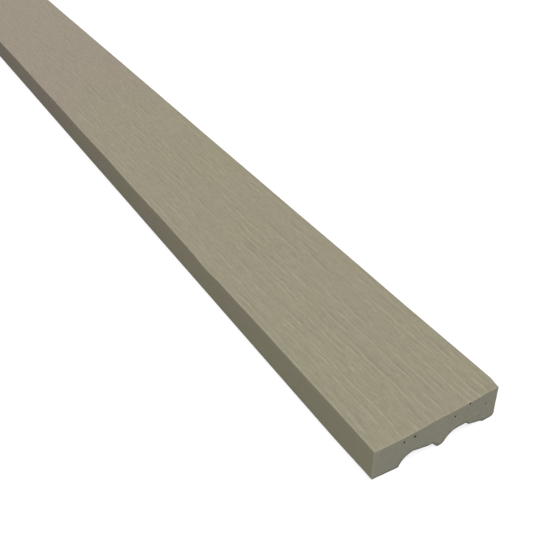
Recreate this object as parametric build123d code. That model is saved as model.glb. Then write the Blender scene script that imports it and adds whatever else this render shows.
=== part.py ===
from build123d import *
import os

# Fibre cement trim board in millimetres: one straight length of constant section, sawn square at both ends.
# X runs along the board, Y across it and Z up. It lies on the feet of its scooped back, grain face up.
board_length = 3050.0  # ten-foot stock length
board_width = 95.0
board_thickness = 25.0

# Three feet along the back: a broad one at the -Y edge, a narrow one near the middle, one at the +Y edge
broad_foot_width = 19.4
narrow_foot_width = 4.8
narrow_foot_offset = 3.4  # from the board's centre line to the middle of the narrow foot
edge_foot_width = 10.0

# Each scoop starts with a curved flank that climbs from a foot and ends level at the crown
first_scoop_depth = 8.0
second_scoop_depth = 7.4
flank_width = 10.0

# First scoop: from its crown a sloping run falls to a level ledge, and a slanted step goes down to the narrow foot
ledge_height = 5.0
ledge_width = 3.0
ledge_step_width = 4.6

# Second scoop: a level crown, a step down to a sloping shelf, and a low toe beside the edge foot
crown_width = 6.6
crown_step_width = 3.0
shelf_height = 4.5
toe_height = 1.7
toe_width = 2.5

# Rounding of the section's corners
arris_radius = 0.8  # both arrises of the grain face and the outer corner of the broad foot
heel_radius = 3.0  # outer corner of the edge foot
narrow_foot_radius = 4.0  # where the narrow foot turns up into the second scoop
crown_radius = 6.0  # where the first scoop's flank meets its sloping run

left_side = -board_width / 2
right_side = board_width / 2

broad_foot_end = left_side + broad_foot_width
narrow_foot_start = narrow_foot_offset - narrow_foot_width / 2
narrow_foot_end = narrow_foot_offset + narrow_foot_width / 2
edge_foot_start = right_side - edge_foot_width

first_crown = (broad_foot_end + flank_width, first_scoop_depth)
ledge_end = (narrow_foot_start - ledge_step_width, ledge_height)
ledge_start = (ledge_end[0] - ledge_width, ledge_height)

second_crown = (narrow_foot_end + flank_width, second_scoop_depth)
crown_end = (second_crown[0] + crown_width, second_scoop_depth)
shelf_start = (crown_end[0] + crown_step_width, shelf_height)
toe_top = (edge_foot_start - toe_width, toe_height)

with BuildPart() as trim_board:
    with BuildSketch(Plane.YZ) as section:
        with BuildLine():
            # Feet and the outside of the board, clockwise from the broad foot
            Polyline(
                (broad_foot_end, 0),
                (left_side, 0),
                (left_side, board_thickness),
                (right_side, board_thickness),
                (right_side, 0),
                (edge_foot_start, 0),
            )
            # First scoop
            TangentArc(first_crown, (broad_foot_end, 0), tangent=(-1, 0))
            Polyline(first_crown, ledge_start, ledge_end, (narrow_foot_start, 0))
            # Narrow foot and second scoop
            Line((narrow_foot_start, 0), (narrow_foot_end, 0))
            TangentArc(second_crown, (narrow_foot_end, 0), tangent=(-1, 0))
            Polyline(second_crown, crown_end, shelf_start, toe_top, (edge_foot_start, 0))
        make_face()

        def corner(point):
            return section.vertices().sort_by_distance(point)[0]

        arrises = [
            corner((left_side, 0)),
            corner((left_side, board_thickness)),
            corner((right_side, board_thickness)),
        ]
        fillet(arrises, radius=arris_radius)
        fillet(corner((right_side, 0)), radius=heel_radius)
        fillet(corner((narrow_foot_end, 0)), radius=narrow_foot_radius)
        fillet(corner(first_crown), radius=crown_radius)
    extrude(amount=board_length / 2, both=True)

os.makedirs("parts", exist_ok=True)
export_step(trim_board.part, "parts/trim_board.step")
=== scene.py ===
import math

import bmesh
import bpy
import numpy as np
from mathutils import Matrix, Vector, noise
from mathutils.geometry import delaunay_2d_cdt


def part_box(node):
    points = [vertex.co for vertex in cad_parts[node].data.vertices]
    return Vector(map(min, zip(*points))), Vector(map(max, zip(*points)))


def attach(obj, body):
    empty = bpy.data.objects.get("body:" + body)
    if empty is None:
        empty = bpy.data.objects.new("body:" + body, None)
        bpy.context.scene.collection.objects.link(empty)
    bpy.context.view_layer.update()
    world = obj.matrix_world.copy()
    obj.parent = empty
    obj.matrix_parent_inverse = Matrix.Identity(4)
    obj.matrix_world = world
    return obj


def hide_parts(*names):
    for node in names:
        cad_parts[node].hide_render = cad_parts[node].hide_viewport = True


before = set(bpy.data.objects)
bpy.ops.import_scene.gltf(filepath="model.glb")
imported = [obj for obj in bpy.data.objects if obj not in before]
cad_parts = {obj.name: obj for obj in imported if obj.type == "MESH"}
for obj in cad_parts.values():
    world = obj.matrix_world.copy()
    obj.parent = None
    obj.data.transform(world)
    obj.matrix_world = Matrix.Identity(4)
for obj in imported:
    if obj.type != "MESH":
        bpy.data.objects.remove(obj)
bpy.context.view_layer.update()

boardLow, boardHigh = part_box("trim_board")
boardLength, boardWidth, boardThickness = boardHigh - boardLow
print("frame loaded, board", [round(v, 4) for v in boardHigh - boardLow])


# The board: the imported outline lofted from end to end, with ridges of grain along its face
board = {
    "sideStep": 0.0045,  # column spacing round the edges, feet and scoops
    "closest": 0.00022,  # outline points nearer together than this are passed over
    "rows": [(0.0, 0.0015), (0.012, 0.0030), (0.30, 0.0050), (0.90, 0.0120)],  # from the near end, spacing
    "sideEvery": 4,  # the smooth sides keep one row of this many
    "rub": 0.0004,  # how far the sawn ends' edges are rubbed back
    "rubRings": 4,
    "rubChange": (0.4, 0.004, 0.5, 53.9),  # share, round the outline, along, seed
    "fadeDepth": 0.0025,  # the arrises sink with the face down to here
    "uneven": (0.00012, 0.09, 0.02, 41.3),  # edges, feet and scoops: reach, along, round the outline, seed
    "crisp": math.radians(38),  # edges that turn by more than this are not smoothed
}

shading = {
    "paintedShadeHeight": 0.0019,  # painted shade: the lowest edges are dark up to here
    "undersideTurn": 0.5,  # painted shade: an end's lower edge is dark where it is turned down by this or more
    "arrisPaintedShade": 0.7,  # how dark the painted shade on the right arris is
    "arrisDepth": 0.001,  # below the face
    "arrisTurn": 0.6,  # it is fully dark where it is turned outward by this or more
    "rosiness": [(0.45, 0.25), (0.58, 1.0), (1.10, 1.0), (1.60, 0.4)],  # from the near end, rosy share
}

tolerance = {
    "corner": 1e-6,  # packed corners closer than this are one
    "endFacing": 0.9,  # a face with this much of +X in its normal is part of the near end
    "face": 1e-5,  # outline points this near to the top lie on the face
    "feet": 1e-4,  # points this near to the floor stay on it
    "net": 1e-9,  # of the triangles on the sawn ends
}

grain = {
    "ridges": 30,  # side by side across the face; about half of them show at any place
    "closest": 0.0011,  # ridges side by side, and beside the arrises
    "spacing": (0.45, 1.0, 5),  # of the ridges: least, what chance adds, seed
    "ownNoise": 10.37,  # keeps each ridge's own noise apart from the next
    "drift": [(0.110, 0.035, 0.0014, 3.1), (0.030, 0.012, 0.0007, 7.7)],  # along, across, reach, seed
    "driftHeld": 0.012,  # the drift dies out this near to the sides
    "wiggles": [(0.026, 0.0012, 11.3), (0.011, 0.0009, 13.9)],  # along, reach, seed
    "turns": (0.058, 0.013, 0.6, 19.1),  # where even ridges give way to odd ones: along, across, weight, seed
    "ownTurns": (0.058, 0.7, 59.1),  # where a ridge comes and goes by itself: along, weight, seed
    "turnSlope": 6.0,  # how suddenly it comes and goes
    "turnMiddle": 0.35,  # its strength halfway
    "breaks": (0.020, 23.3),  # along, seed
    "lasting": (0.65, 1.5, 0.05),  # strength from break to break: middle, swing, least
    "depth": [(0.0, 1.2), (0.12, 0.95), (0.30, 0.82), (0.60, 0.75)],  # from the near end, share of full depth
    "shoulder": (0.00080, 0.6, 0.025, 43.7),  # half width of a ridge; its change: share, along, seed
    "shoulderRoom": 0.44,  # the most of the room beside a ridge that its shoulder takes
    "profile": [  # how many shoulders off, height, tone; the tone is partly the grain's own colour, partly painted shade in the hollows and in the groove beside each ridge
        (-2.0, 0.05, -0.3), (-1.0, 0.5, 0.4), (0.0, 1.0, 1.0), (1.0, 0.4, 0.25), (2.0, -0.25, -0.65),
    ],
    "swell": (0.024, 3.3, 29.9),  # between the ridges: along, from one hollow to the next, seed
    "swellHeight": 0.4,
    "swellShade": (-0.2, 1.1),  # painted shade, darker where the swell sinks: middle, swing
    "faintest": 0.35,  # the least room that a faint ridge keeps beside a full one
    "relief": 0.00024,  # height of a full ridge
    "tallest": 1.2,
}

sawnEnd = {
    "step": 0.0017,  # spacing of the points inside the sawn ends
    "jitter": (0.2, 1.3, 1.7, 67.1),  # of those points: share of the step, noise per point and line, seed
    "clearOfRim": 0.6,  # shares of the step
    "clearOfPits": 0.4,
    "reach": 0.014,  # the saw's wander is taken up over this length of board
    # how deep the saw ran at the near end: share of the width from the left, depth
    "atFace": [(0.0, 0.0006), (0.13, 0.0003), (0.21, 0.0), (0.38, 0.0003), (0.47, 0.00075), (0.53, 0.0006),
               (0.66, 0.0006), (0.81, 0.00085), (0.91, 0.0014), (1.0, 0.0014)],
    "atFeet": [(0.0, 0.0003), (0.13, 0.0003), (0.20, 0.0), (0.53, 0.0), (0.95, 0.0006), (1.0, 0.0006)],
    "far": (0.0006, 0.045, 0.030, 61.7),  # depth at the far end, across, up, seed
}

# From the near end, y, z; how far the wear reaches along, across and up; move in y and z at the place itself
wornPlaces = [
    (0.0, boardHigh.y, boardHigh.z, (0.010, 0.010, 0.010), (-0.0002, -0.0004)),  # right corner of the face
    (0.0, boardHigh.y, boardThickness / 2, (0.010, 0.010, 0.040), (-0.0010, 0.0)),  # the whole right edge
    (0.0, boardLow.y, boardLow.z, (0.042, 0.014, 0.014), (0.0, 0.0012)),  # left corner of the broad foot
    (0.198, boardLow.y, boardHigh.z, (0.022, 0.008, 0.008), (0.0, -0.0019)),  # a dent in the left arris
]

arris = {
    "waver": [(boardLow.y, 0.0009), (boardHigh.y, -0.0003)],  # how far each edge of the face rises and falls
    "along": 0.060,
    "across": 0.01,  # keeps the two edges' noise apart
    "breadth": 0.005,  # taken up over this much of the face and of the sides
    "seed": 197.95,
}

pores = [  # on the near sawn end: from the left edge, below the face, radius, darkness, which deepens the pit and its painted shade
    (0.0212, 0.0046, 0.00060, 1.0),
    (0.0290, 0.0045, 0.00064, 1.0),
    (0.0597, 0.0062, 0.00050, 1.0),
    (0.0706, 0.0017, 0.00058, 1.0),
    (0.0853, 0.0105, 0.00080, 0.3),
    (0.0815, 0.0180, 0.00036, 0.6),
]

poreShape = {
    "rings": [(1.3, 0.0, 0.0), (1.05, 0.1, 1.0), (0.8, 1.2, 1.0), (0.4, 2.0, 1.0)],  # radii, depth, darkness of the painted shade
    "points": 9,  # round each ring
    "taller": 1.35,  # than wide
    "wobble": (0.3, 900, 1.7, 5.0),  # share of the radius, noise per metre of board and per point, seed
}


def noiseField(x, y, along, across, seed):
    points = zip(np.ravel(x) / along, np.ravel(y) / across)
    values = [noise.noise((u, v, seed)) for u, v in points]
    return np.array(values).reshape(np.shape(x))


def smoothStep(value):
    value = np.clip(value, 0.0, 1.0)
    return value * value * (3.0 - 2.0 * value)


def packedOutline(name):  # (y, z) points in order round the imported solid's near end
    solid = bmesh.new()
    solid.from_mesh(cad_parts[name].data)
    bmesh.ops.remove_doubles(solid, verts=solid.verts, dist=tolerance["corner"])
    solid.normal_update()
    rim = [e for e in solid.edges if sum(f.normal.x > tolerance["endFacing"] for f in e.link_faces) == 1]
    nextTo = {}
    for edge in rim:
        for vert in edge.verts:
            nextTo.setdefault(vert, []).append(edge.other_vert(vert))
    loop = [min(nextTo, key=lambda v: v.co.z - v.co.y)]  # the right side's heel
    step = nextTo[loop[0]][0]
    while step is not loop[0]:
        loop.append(step)
        step = next((v for v in nextTo[step] if v is not loop[-2]), loop[0])
    points = np.array([(v.co.y, v.co.z) for v in loop])
    solid.free()
    y, z = points.T
    turning = np.sum(y * np.roll(z, -1) - z * np.roll(y, -1))
    return points if turning > 0 else np.roll(points[::-1], 1, axis=0)  # anticlockwise from +X


def sideColumns(points):  # from the face's left arris, down and round the feet, up to its right arris
    onFace = points[:, 1] > boardHigh.z - tolerance["face"]
    leftEnd = np.argmin(np.where(onFace, points[:, 0], np.inf))
    rightEnd = np.argmax(np.where(onFace, points[:, 0], -np.inf))
    points = np.roll(points, -leftEnd, axis=0)[:(rightEnd - leftEnd) % len(points) + 1]
    ahead = np.linalg.norm(np.roll(points, -1, axis=0) - points, axis=1)
    kept = [points[0]]
    for point, gap in zip(points[1:-1], ahead[1:-1]):
        crowded = np.linalg.norm(point - kept[-1]) < board["closest"]
        if not crowded or gap > board["closest"]:
            kept.append(point)
    kept.append(points[-1])
    columns = []
    for here, there in zip(kept, kept[1:]):
        count = max(1, math.ceil(np.linalg.norm(there - here) / board["sideStep"]))
        columns += [here + (there - here) * i / count for i in range(count)]
        if here[1] - there[1] > boardThickness / 2:  # the left side has a column where its painted shade ends
            columns.append(np.array((here[0], boardLow.z + shading["paintedShadeHeight"])))
    return np.array(columns + [kept[-1]])


def outwardNormals(outline):  # of an open line of columns
    ahead = np.diff(outline, axis=0)
    ahead /= np.linalg.norm(ahead, axis=1)[:, None]
    mean = np.concatenate([[(-1.0, 0.0)], ahead]) + np.concatenate([ahead, [(-1.0, 0.0)]])
    mean /= np.linalg.norm(mean, axis=1)[:, None]
    return np.stack([mean[:, 1], -mean[:, 0]], axis=1)


def grainColumns(away, low, high):  # places, heights and tones of the ridges, the tones with painted shade in the hollows, from right to left
    number = np.arange(grain["ridges"])
    least, chance, seed = grain["spacing"]
    spaces = least + chance * np.random.default_rng(seed).random(len(number) + 1)
    base = low + (high - low) * np.cumsum(spaces)[:-1] / spaces.sum()
    x, y = np.meshgrid(away, base, indexing="ij")
    own = np.broadcast_to(number * grain["ownNoise"], x.shape)
    held = smoothStep(np.minimum(y - low, high - y) / grain["driftHeld"])
    crest = y
    for along, across, reach, seed in grain["drift"]:
        crest = crest + reach * noiseField(x, y, along, across, seed) * held
    for along, reach, seed in grain["wiggles"]:
        crest = crest + reach * noiseField(x, own, along, 1.0, seed)
    apart = number * grain["closest"]
    crest = np.maximum.accumulate(np.maximum(crest, low + grain["closest"]) - apart, axis=1)
    crest = np.minimum(crest, high - grain["closest"] - apart[-1]) + apart

    along, across, weight, seed = grain["turns"]
    turn = noiseField(x, y, along, across, seed) * np.where(number % 2, -weight, weight)
    along, weight, seed = grain["ownTurns"]
    turn = turn + weight * noiseField(x, own, along, 1.0, seed)
    along, seed = grain["breaks"]
    middle, swing, least = grain["lasting"]
    lasting = middle + swing * noiseField(x, own, along, 1.0, seed)
    depth = np.interp(away, *zip(*grain["depth"]))[:, None]
    lasting = np.clip(lasting * depth, least, grain["tallest"])
    strength = np.clip(grain["turnSlope"] * turn + grain["turnMiddle"], 0.0, 1.0) * lasting

    width, change, along, seed = grain["shoulder"]
    shoulder = width * (1.0 + change * noiseField(x, own, along, 1.0, seed))

    edge = np.ones((len(away), 1))
    gap = np.diff(np.concatenate([edge * low, crest, edge * high], axis=1), axis=1)
    claim = strength + grain["faintest"]
    share = claim[:, :-1] / (claim[:, :-1] + claim[:, 1:])  # of the gap beyond each ridge but the last
    before = gap[:, :-1] * np.concatenate([edge / 2, 1 - share], axis=1)
    after = gap[:, 1:] * np.concatenate([share, edge / 2], axis=1)
    along, onward, seed = grain["swell"]
    middle, swing = grain["swellShade"]
    places, heights, tonesAndShade = [], [], []
    for k in number:
        places.append(crest[:, k] - before[:, k])  # the hollow before the ridge
        swell = noiseField(away, np.full(len(away), k * onward), along, 1.0, seed)
        heights.append(grain["swellHeight"] * swell)
        tonesAndShade.append(middle + swing * swell)
        for offset, height, tone in grain["profile"]:
            room = (before if offset < 0 else after)[:, k]
            places.append(crest[:, k] + offset * np.minimum(shoulder[:, k], grain["shoulderRoom"] * room))
            heights.append(height * strength[:, k])
            tonesAndShade.append(tone * strength[:, k])
    return [np.stack(values[::-1], axis=1) for values in (places, heights, tonesAndShade)]


def boardRows():  # distances from the near end, how far each row is rubbed in, and its wear and painted highlight
    rub = board["rub"]
    places = []
    stretches = board["rows"] + [(boardLength, None)]
    for (start, step), (end, _) in zip(stretches, stretches[1:]):
        count = math.ceil((end - start) / step)
        places += [start + (end - start) * i / count for i in range(count)]
    clear = 3 * rub  # the other rows keep this far from the ends
    inner = [p for p in places if clear < p < boardLength - clear]
    turns = [math.pi / 2 * i / board["rubRings"] for i in range(board["rubRings"] + 1)]
    near = [rub * (1 - math.cos(t)) for t in turns]
    inset = [rub * (1 - math.sin(t)) for t in turns]
    wearAndHighlight = [math.sin(2 * t) for t in turns]
    rows = near + inner + [boardLength - n for n in reversed(near)]
    insets = inset + [0.0] * len(inner) + inset[::-1]
    wearsAndHighlights = wearAndHighlight + [0.0] * len(inner) + wearAndHighlight[::-1]
    return np.array(rows), np.array(insets), np.array(wearsAndHighlights)


def sawDepth(y, z):  # at the near end
    fromLeft = (y - boardLow.y) / boardWidth
    atFace = np.interp(fromLeft, *zip(*sawnEnd["atFace"]))
    atFeet = np.interp(fromLeft, *zip(*sawnEnd["atFeet"]))
    return atFeet + (atFace - atFeet) * np.clip((z - boardLow.z) / boardThickness, 0, 1)


def farSawDepth(y, z):
    depth, across, up, seed = sawnEnd["far"]
    return depth * (0.5 + 0.5 * noiseField(y, z, across, up, seed))


def pitPoints():  # y, z, depth and painted shade of the points round each pore
    share, perMetre, perPoint, seed = poreShape["wobble"]
    count = poreShape["points"]
    points = []
    for fromLeft, below, radius, darkness in pores:
        for spread, depth, dark in poreShape["rings"]:
            for i in range(count):
                turn = 2 * math.pi * (i + spread) / count
                wobble = 1 + share * noise.noise((fromLeft * perMetre, i * perPoint, seed))
                reach = radius * spread * wobble
                y = boardLow.y + fromLeft + reach * math.cos(turn)
                z = boardHigh.z - below + poreShape["taller"] * reach * math.sin(turn)
                points.append((y, z, depth * radius * darkness, dark * darkness))
    return points


def insidePoints(ring, pits):  # a loose net of points within a ring, clear of it and of the pits
    step = sawnEnd["step"]
    jitter, perPoint, perLine, seed = sawnEnd["jitter"]
    low, high = ring.min(axis=0), ring.max(axis=0)
    rise = step * math.sqrt(3) / 2
    points = []
    for j in range(int((high[1] - low[1]) / rise)):
        for i in range(int((high[0] - low[0]) / step)):
            y = low[0] + (i + 0.5 + 0.5 * (j % 2)) * step
            z = low[1] + (j + 0.5) * rise
            points.append((y + jitter * step * noise.noise((i * perPoint, j * perLine, seed)), z))
    points = np.array(points)
    y, z = points.T
    within = np.zeros(len(points), bool)
    clear = np.ones(len(points), bool)
    for (y0, z0), (dy, dz) in zip(ring, np.roll(ring, -1, axis=0) - ring):
        share = (z - z0) / dz if dz else np.full(len(points), -1.0)
        within ^= (share >= 0) & (share < 1) & (y < y0 + share * dy)
        nearest = np.clip(((y - y0) * dy + (z - z0) * dz) / (dy * dy + dz * dz), 0, 1)
        gap = np.hypot(y - y0 - nearest * dy, z - z0 - nearest * dz)
        clear &= gap > sawnEnd["clearOfRim"] * step
    for pitY, pitZ, _, _ in pits:
        clear &= np.hypot(y - pitY, z - pitZ) > sawnEnd["clearOfPits"] * step
    return points[within & clear]


def stitched(there, back):  # triangles between two lines of points that run opposite ways
    facing = back[::-1]
    triangles = []
    i = j = 0
    while i + j < len(there) + len(facing) - 2:
        behind = (i + 0.5) * (len(facing) - 1) <= (j + 0.5) * (len(there) - 1)
        if behind:
            triangles.append((there[i], there[i + 1], facing[j]))
            i += 1
        else:
            triangles.append((there[i], facing[j + 1], facing[j]))
            j += 1
    return triangles


def loftFaces(index, used, sideRow, sideCount):  # between the rows
    count = index.shape[1]
    faces = []
    for r in range(len(index) - 1):
        for c in range(sideCount - 1, count):
            d = (c + 1) % count
            faces.append((index[r, c], index[r + 1, c], index[r + 1, d], index[r, d]))
    kept = np.flatnonzero(sideRow)
    for r, s in zip(kept, kept[1:]):
        for c in range(sideCount - 1):
            there = [index[k, c] for k in range(r, s + 1) if used[k, c]]
            back = [index[k, c + 1] for k in range(s, r - 1, -1) if used[k, c + 1]]
            faces += [there + back] if len(there) == len(back) else stitched(there, back)
    return faces


def endFaces(ring, rim, pits, first):  # the points inside a sawn end, and its triangles
    inside = [(y, z, 0.0, 0.0) for y, z in insidePoints(ring, pits)] + pits
    count = len(ring)
    edges = [(i, (i + 1) % count) for i in range(count)]
    flat = [Vector(p) for p in ring] + [Vector(p[:2]) for p in inside]
    _, _, triangles, origins, _, _ = delaunay_2d_cdt(flat, edges, [], 1, tolerance["net"])
    corners = [rim[o[0]] if o[0] < count else first + o[0] - count for o in origins]
    return inside, [[corners[i] for i in triangle] for triangle in triangles]


def boardMesh():
    sides = sideColumns(packedOutline("trim_board"))
    rows, insets, wearsAndHighlights = boardRows()
    places, heights, tonesAndShade = grainColumns(rows, sides[0, 0], sides[-1, 0])
    sideCount, count = len(sides), len(sides) + places.shape[1]
    shape, sideShape = (len(rows), count), (len(rows), sideCount)
    face = slice(sideCount, count)
    away = np.broadcast_to(rows[:, None], shape)
    across = np.concatenate([np.broadcast_to(sides[:, 0], sideShape), places], axis=1)
    top = np.full(places.shape, boardHigh.z)
    up = np.concatenate([np.broadcast_to(sides[:, 1], sideShape), top], axis=1)
    normals = np.concatenate([outwardNormals(sides), np.tile((0.0, 1.0), (places.shape[1], 1))])

    # the grain is pressed in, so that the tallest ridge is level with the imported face
    height, tone = np.zeros(shape), np.zeros(shape)
    height[:, face], tone[:, face] = heights, tonesAndShade
    onFace = smoothStep((up - boardHigh.z + board["fadeDepth"]) / board["fadeDepth"])
    pressed = grain["relief"] * (height - grain["tallest"]) * onFace

    steps = np.linalg.norm(np.diff(sides, axis=0, prepend=sides[:1]), axis=1)
    ringWay = np.concatenate([np.cumsum(steps), boardHigh.y - places[0] + steps.sum()])
    ringWay = np.broadcast_to(ringWay, shape)
    reach, along, around, seed = board["uneven"]
    uneven = noiseField(away, ringWay, along, around, seed) * reach * (1 - onFace)
    change, around, along, seed = board["rubChange"]
    rubbed = 1.0 + change * noiseField(ringWay, away, around, along, seed)
    inward = insets[:, None] * rubbed - np.minimum(uneven, 0.0) * (up > boardLow.z + tolerance["feet"])
    y = across - inward * normals[:, 0]
    z = up - inward * normals[:, 1] + pressed
    for edgeY, reach in arris["waver"]:
        off = np.hypot(across - edgeY, up - boardHigh.z) / arris["breadth"]
        atEdge = np.full(len(rows), edgeY)
        waver = noiseField(rows, atEdge, arris["along"], arris["across"], arris["seed"])
        z = z + reach * waver[:, None] * smoothStep(1 - off)
    for fromEnd, placeY, placeZ, (along, wide, tall), (moveY, moveZ) in wornPlaces:
        gaps = (away - fromEnd) / along, (across - placeY) / wide, (up - placeZ) / tall
        off = np.sqrt(sum(gap ** 2 for gap in gaps))
        y = y + moveY * smoothStep(1 - off)
        z = z + moveZ * smoothStep(1 - off)
    z = np.minimum(z, boardHigh.z)
    nearPull = sawDepth(across, up) * (1 - smoothStep(away / sawnEnd["reach"]))
    farPull = farSawDepth(across, up) * (1 - smoothStep((boardLength - away) / sawnEnd["reach"]))
    x = boardHigh.x - away - nearPull + farPull

    # what the shader is told about each point
    sawn = insets[:, None] / board["rub"]
    # wear and painted highlight: the rounded top arrises are paler mid-turn, like the rubbed ends' edges
    onArris = np.abs(2 * normals[:, 0] * normals[:, 1]) * (up[0] > boardHigh.z / 2)
    # painted shade: darker at the lowest edges, on the right arris where it turns from the light, and on the
    # sawn ends' downturned edges
    lowEdge = np.clip(1 - up[0] / shading["paintedShadeHeight"], 0, 1)
    underside = smoothStep(-normals[:, 1] / shading["undersideTurn"])
    besideFace = up[0] > boardHigh.z - shading["arrisDepth"]
    rightArris = smoothStep(normals[:, 0] / shading["arrisTurn"]) * besideFace
    rosiness = np.interp(rows, *zip(*shading["rosiness"]))
    masks = {
        # grain tone, with painted shade in the hollows and beside the ridges
        "grain": tone,
        "face": onFace,
        "sawn": np.broadcast_to(sawn, shape),
        "wearAndHighlight": np.maximum(wearsAndHighlights[:, None], onArris[None, :]),
        "poreShade": np.zeros(shape),
        "rosy": np.broadcast_to(rosiness[:, None], shape),
        # painted shade on the lowest and downturned edges and on the right arris
        "paintedShade": np.maximum(lowEdge + shading["arrisPaintedShade"] * rightArris, sawn * underside),
    }

    used = np.ones(shape, bool)
    wandering = (rows < sawnEnd["reach"]) | (rows > boardLength - sawnEnd["reach"])
    sideRow = wandering | (np.arange(len(rows)) % board["sideEvery"] == 0)
    used[:, 1:sideCount - 1] = sideRow[:, None]
    index = np.cumsum(used.ravel()).reshape(shape) - 1
    points = np.stack([x, y, z], axis=-1)[used].tolist()
    shades = {name: values[used].tolist() for name, values in masks.items()}
    faces = loftFaces(index, used, sideRow, sideCount)

    last = len(rows) - 1
    for row, pits, depth, way in ((0, pitPoints(), sawDepth, 1), (last, [], farSawDepth, -1)):
        ring = np.stack([y[row], z[row]], axis=1)
        inside, triangles = endFaces(ring, index[row], pits, len(points))
        faces += [triangle[::way] for triangle in triangles]
        for py, pz, pit, dark in inside:
            sawX = boardHigh.x - rows[row] - way * (float(depth(np.array(py), np.array(pz))) + pit)
            points.append((sawX, py, pz))
            for name in shades:
                shades[name].append({"sawn": 1.0, "poreShade": dark}.get(name, 0.0))

    mesh = bpy.data.meshes.new("trimBoard")
    mesh.from_pydata(points, [], faces)
    mesh.polygons.foreach_set("use_smooth", [True] * len(mesh.polygons))
    for name, values in shades.items():
        layer = mesh.attributes.new(name, "FLOAT", "POINT")
        layer.data.foreach_set("value", values)
    mesh.set_sharp_from_angle(angle=board["crisp"])
    print("board of", len(rows), "rows and", count, "columns,", places.shape[1], "of them on the face")
    return mesh


# One socket of a shader; arithmetic on it adds Math nodes
class Wire:
    def __init__(self, tree, socket=None):
        self.tree = tree
        self.socket = socket

    def node(self, kind, settings=None, inputs=None, output=0):
        made = self.tree.nodes.new(kind)
        for name, value in (settings or {}).items():
            setattr(made, name, value)
        for name, value in (inputs or {}).items():
            if isinstance(value, Wire):
                self.tree.links.new(value.socket, made.inputs[name])
            else:
                made.inputs[name].default_value = value
        return Wire(self.tree, made.outputs[output] if made.outputs else None)

    def maths(self, operation, first, second):
        return self.node("ShaderNodeMath", {"operation": operation}, {0: first, 1: second})

    def __add__(self, other):
        return self.maths("ADD", self, other)

    def __radd__(self, other):
        return self.maths("ADD", other, self)

    def __sub__(self, other):
        return self.maths("SUBTRACT", self, other)

    def __rsub__(self, other):
        return self.maths("SUBTRACT", other, self)

    def __mul__(self, other):
        return self.maths("MULTIPLY", self, other)

    def __rmul__(self, other):
        return self.maths("MULTIPLY", other, self)


def blend(factor, first, second):  # colours
    settings = {"data_type": "RGBA", "clamp_factor": True}
    return factor.node("ShaderNodeMix", settings, {0: factor, 6: first, 7: second}, 2)


def mottle(place, along, across, detail):  # noise in cells of these sizes, about 0 to 1, 0.5 in the middle
    cells = (1 / along, 1 / across, 1 / across)
    where = place.node("ShaderNodeVectorMath", {"operation": "MULTIPLY"}, {0: place, 1: cells})
    return place.node("ShaderNodeTexNoise", None, {"Vector": where, "Scale": 1.0, "Detail": detail})


cement = {
    "olive": (0.329, 0.304, 0.212, 1.0),
    "rosy": (0.336, 0.2915, 0.229, 1.0),
    "sawn": (0.340, 0.328, 0.252, 1.0),
    # painted shade in the pores' pits
    "poreShadeColour": (0.014, 0.012, 0.008, 1.0),
    # mottling: along, across, detail
    "drift": (0.30, 0.12, 2.0),
    "blush": (0.060, 0.045, 1.0),
    "patches": (0.020, 0.007, 2.0),
    "speckle": (0.0012, 0.0009, 2.0),
    "streaks": (0.0070, 0.0018, 1.0),
    "fibres": (0.006, 0.0006, 3.0),
    "sand": (0.0005, 0.0005, 2.0),
    # how much each tells: on the sides, and how much less on the face
    "driftGain": (2.2, 1.2),
    "blushGain": (2.6, 1.8),
    "patchGain": 0.08,
    "speckleGain": (0.30, 0.17),  # and how much more on the sawn ends
    "grainAndShadeGain": 0.14,  # crests paler, and hollows darker with painted shade
    "wearAndHighlightGain": 0.15,  # rubbed edges paler: partly wear, partly a painted highlight
    "streakGain": 0.26,  # fine streaks between the ridges
    # painted shade on the lowest edges, the right arris and the ends' lower edges
    "paintedShadeLoss": 0.42,
    "fibreHeight": 0.6,
    "sandHeight": 0.4,
    "bumpStrength": 0.25,
    "bumpDistance": 0.0002,
    "roughness": (0.84, 0.12),  # and how much the patches change it
    "specular": 0.25,
}


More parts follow.
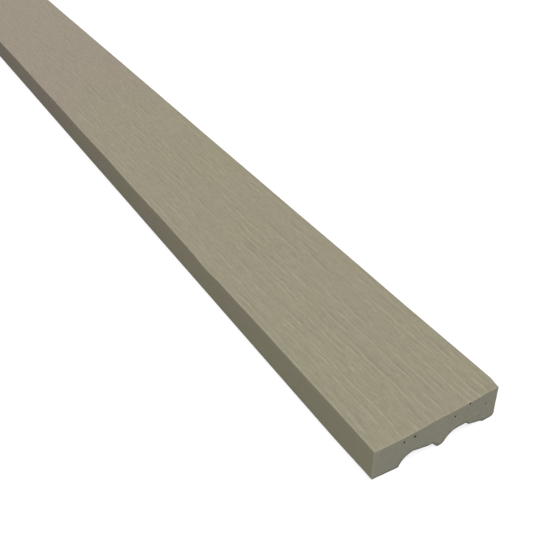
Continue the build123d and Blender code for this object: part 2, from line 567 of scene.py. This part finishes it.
def fibreCement():
    material = bpy.data.materials.new("fibreCement")
    material.use_nodes = True
    tree = material.node_tree
    tree.nodes.clear()
    start = Wire(tree)
    place = start.node("ShaderNodeTexCoord", output="Object")
    masks = ("grain", "sawn", "wearAndHighlight", "poreShade", "face", "paintedShade", "rosy")
    grainAndShade, sawn, wearAndHighlight, poreShade, face, paintedShade, rosy = [
        start.node("ShaderNodeAttribute", {"attribute_name": mask}, output="Fac") for mask in masks
    ]

    drift = mottle(place, *cement["drift"])
    blush = mottle(place, *cement["blush"])
    most, less = cement["driftGain"]
    rosiness = rosy + (drift - 0.5) * (most - less * face)
    most, less = cement["blushGain"]
    rosiness = rosiness + (blush - 0.5) * (most - less * face)
    tone = blend(rosiness, cement["olive"], cement["rosy"])
    tone = blend(sawn, tone, cement["sawn"])

    patches = mottle(place, *cement["patches"])
    speckle = mottle(place, *cement["speckle"])
    streaks = mottle(place, *cement["streaks"])
    least, more = cement["speckleGain"]
    level = 1.0 + (patches - 0.5) * cement["patchGain"] + (speckle - 0.5) * (least + more * sawn)
    # the grain's tone with its painted shade, and the arrises' wear with a painted highlight
    level = level + grainAndShade * cement["grainAndShadeGain"] + wearAndHighlight * cement["wearAndHighlightGain"]
    # painted shade takes light off the lowest edges, the right arris and the ends' lower edges
    level = level + (streaks - 0.5) * face * cement["streakGain"] - paintedShade * cement["paintedShadeLoss"]
    grey = level.node("ShaderNodeCombineColor", None, {0: level, 1: level, 2: level})
    multiply = {"data_type": "RGBA", "blend_type": "MULTIPLY"}
    tone = tone.node("ShaderNodeMix", multiply, {0: 1.0, 6: tone, 7: grey}, 2)
    # the pores' pits painted near black as shade
    tone = blend(poreShade, tone, cement["poreShadeColour"])

    fibres = mottle(place, *cement["fibres"])
    sand = mottle(place, *cement["sand"])
    height = fibres * (1.0 - sawn) * cement["fibreHeight"] + sand * cement["sandHeight"]
    bump = height.node("ShaderNodeBump", None, {
        "Strength": cement["bumpStrength"],
        "Distance": cement["bumpDistance"],
        "Height": height,
    })
    middle, change = cement["roughness"]
    shader = bump.node("ShaderNodeBsdfPrincipled", None, {
        "Base Color": tone,
        "Roughness": middle + (patches - 0.5) * change,
        "Specular IOR Level": cement["specular"],
        "Normal": bump,
    })
    shader.node("ShaderNodeOutputMaterial", None, {"Surface": shader})
    return material


mesh = boardMesh()
trimBoard = bpy.data.objects.new("trimBoard", mesh)
bpy.context.scene.collection.objects.link(trimBoard)
mesh.materials.append(fibreCement())
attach(trimBoard, "root")
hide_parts("trim_board")
print("board dressed,", sum(len(p.vertices) - 2 for p in mesh.polygons), "triangles")


# White floor: shows white to the camera, keeps a soft shadow, and throws back a little light
floor = {
    "size": 60.0,
    "below": 0.0001,
    "glow": 0.80,  # what the camera sees apart from the shadowed part
    "shadowed": (0.30, 0.30, 0.30, 1.0),
    "bounce": (0.16, 0.16, 0.16, 1.0),
}


def lightPath(start):  # 1 for the rays that show the background
    rays = ("Is Camera Ray", "Is Glossy Ray", "Is Transmission Ray")
    camera, glossy, through = [start.node("ShaderNodeLightPath", output=ray) for ray in rays]
    either = start.maths("MAXIMUM", camera, glossy)
    return start.maths("MAXIMUM", either, through)


def whiteFloor():
    bpy.ops.mesh.primitive_plane_add(size=floor["size"], location=(0, 0, boardLow.z - floor["below"]))
    plane = bpy.context.object
    plane.name = "whiteFloor"
    material = bpy.data.materials.new("whiteFloor")
    material.use_nodes = True
    tree = material.node_tree
    tree.nodes.clear()
    start = Wire(tree)
    seen = lightPath(start)
    glow = start.node("ShaderNodeEmission", None, {"Strength": floor["glow"]})
    catch = start.node("ShaderNodeBsdfDiffuse", None, {"Color": floor["shadowed"]})
    shown = start.node("ShaderNodeAddShader", None, {0: glow, 1: catch})
    bounce = start.node("ShaderNodeBsdfDiffuse", None, {"Color": floor["bounce"]})
    mixed = start.node("ShaderNodeMixShader", None, {0: seen, 1: bounce, 2: shown})
    start.node("ShaderNodeOutputMaterial", None, {"Surface": mixed})
    plane.data.materials.append(material)


def placed(data, place, way, axis):  # an object with this axis along the way
    made = bpy.data.objects.new(data.name, data)
    made.location = place
    made.rotation_mode = "QUATERNION"
    made.rotation_quaternion = Vector(way).to_track_quat(axis, "Y")
    bpy.context.scene.collection.objects.link(made)
    return made


light = {
    "sky": 0.235,
    "key": 2.46,  # pi times what a square-on face gets
    "keyFrom": (0.285, 0.0, 0.76),
    "keyWidth": math.radians(50),
    "fill": 3.35,  # watts
    "fillFrom": (0.35, -0.9, 0.1),  # from the middle of the near end
    "fillSize": 0.5,
    "backFill": 3.35,
    "backFillFrom": (-0.6, 0.7, 0.3),  # from the middle of the far end
}


def lights():
    world = bpy.data.worlds.new("studio")
    bpy.context.scene.world = world
    world.use_nodes = True
    tree = world.node_tree
    tree.nodes.clear()
    start = Wire(tree)
    seen = lightPath(start)
    sky = start.node("ShaderNodeBackground", None, {"Strength": light["sky"]})
    white = start.node("ShaderNodeBackground", None, {"Color": (1, 1, 1, 1), "Strength": 1.0})
    mixed = start.node("ShaderNodeMixShader", None, {0: seen, 1: sky, 2: white})
    start.node("ShaderNodeOutputWorld", None, {"Surface": mixed})
    key = bpy.data.lights.new("key", "SUN")
    key.energy = light["key"]
    key.angle = light["keyWidth"]
    placed(key, (0, 0, 0), light["keyFrom"], "Z")
    for name, endX in (("fill", boardHigh.x), ("backFill", boardLow.x)):
        fill = bpy.data.lights.new(name, "AREA")
        fill.energy = light[name]
        fill.size = light["fillSize"]
        lampFrom = Vector(light[name + "From"])
        lamp = placed(fill, Vector((endX, 0, boardLow.z)) + lampFrom, lampFrom, "Z")
        lamp.visible_camera = False


camera = {
    "lens": 52.18,
    "sensor": 36.0,
    "clipStart": 0.01,
    "eye": (0.20687, -0.24195, 0.33772),  # from the middle of the near end's top edge
    "aim": (-0.67688, 0.41638, -0.60701),
}


def placeCamera():
    data = bpy.data.cameras.new("camera")
    data.lens = camera["lens"]
    data.sensor_width = camera["sensor"]
    data.clip_start = camera["clipStart"]
    eye = Vector((boardHigh.x, 0, boardHigh.z)) + Vector(camera["eye"])
    bpy.context.scene.camera = placed(data, eye, camera["aim"], "-Z")


whiteFloor()
lights()
placeCamera()
bpy.context.scene.view_settings.view_transform = "Standard"
print("floor, lights and camera placed")
